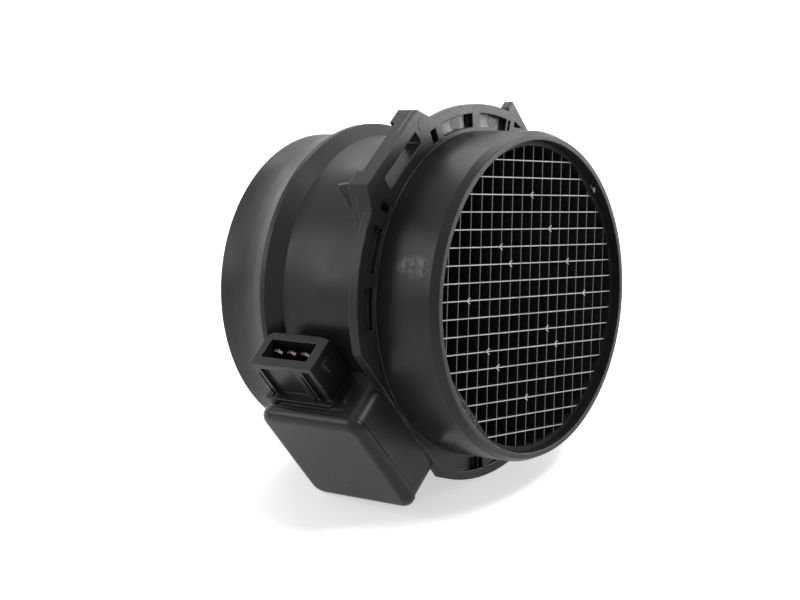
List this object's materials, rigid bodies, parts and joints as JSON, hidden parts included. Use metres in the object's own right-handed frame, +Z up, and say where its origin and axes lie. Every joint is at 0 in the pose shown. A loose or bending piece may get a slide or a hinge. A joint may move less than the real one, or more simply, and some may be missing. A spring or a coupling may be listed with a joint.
{
  "type": "mass airflow sensor",
  "caption": "Round intake duct with a flow-straightening grille, a clip-on flange and a side electronics box whose arm measures the air passing through.",
  "frame": {"origin": "on the duct's axis, at the flange's front face", "axes": "+Y along the duct the way the air flows, +Z up, +X to the right seen from the inlet"},
  "size_m": [0.1045, 0.0742, 0.1059],
  "materials": {
    "housing_plastic": "satin black glass-filled nylon",
    "grille_plastic": "satin black",
    "cover_plastic": "satin black",
    "seal_silicone": "cured sealant",
    "plate_aluminium": "rolled",
    "board_ceramic": "fired white ceramic",
    "chip_resin": "moulded resin",
    "capacitor_ceramic": "fired ceramic",
    "gel": "clear soft gel",
    "arm_plastic": "satin black",
    "element_glass": "polished glass with a metal film",
    "lead_nickel": "nickel plated",
    "terminal_bronze": "tinned bronze with wear",
    "ribbon_aluminium": "soft rolled ribbon"
  },
  "bodies": {
    "root": {"housing": "housing_plastic", "inlet_grille": "grille_plastic", "electronics_cover": "cover_plastic", "cover_seal": "seal_silicone", "base_plate": "plate_aluminium", "circuit_board": "board_ceramic", "control_chip": "chip_resin", "driver_transistor": "chip_resin", "capacitor_1": "capacitor_ceramic", "capacitor_2": "capacitor_ceramic", "potting_gel": "gel", "sensor_arm": "arm_plastic", "arm_seal": "seal_silicone", "hot_film_element": "element_glass", "temperature_element": "element_glass", "element_lead_1": "lead_nickel", "element_lead_2": "lead_nickel", "element_lead_3": "lead_nickel", "element_lead_4": "lead_nickel", "terminal_1": "terminal_bronze", "terminal_2": "terminal_bronze", "terminal_3": "terminal_bronze", "bond_ribbon_1": "ribbon_aluminium", "bond_ribbon_2": "ribbon_aluminium", "bond_ribbon_3": "ribbon_aluminium"}
  },
  "joints": []
}
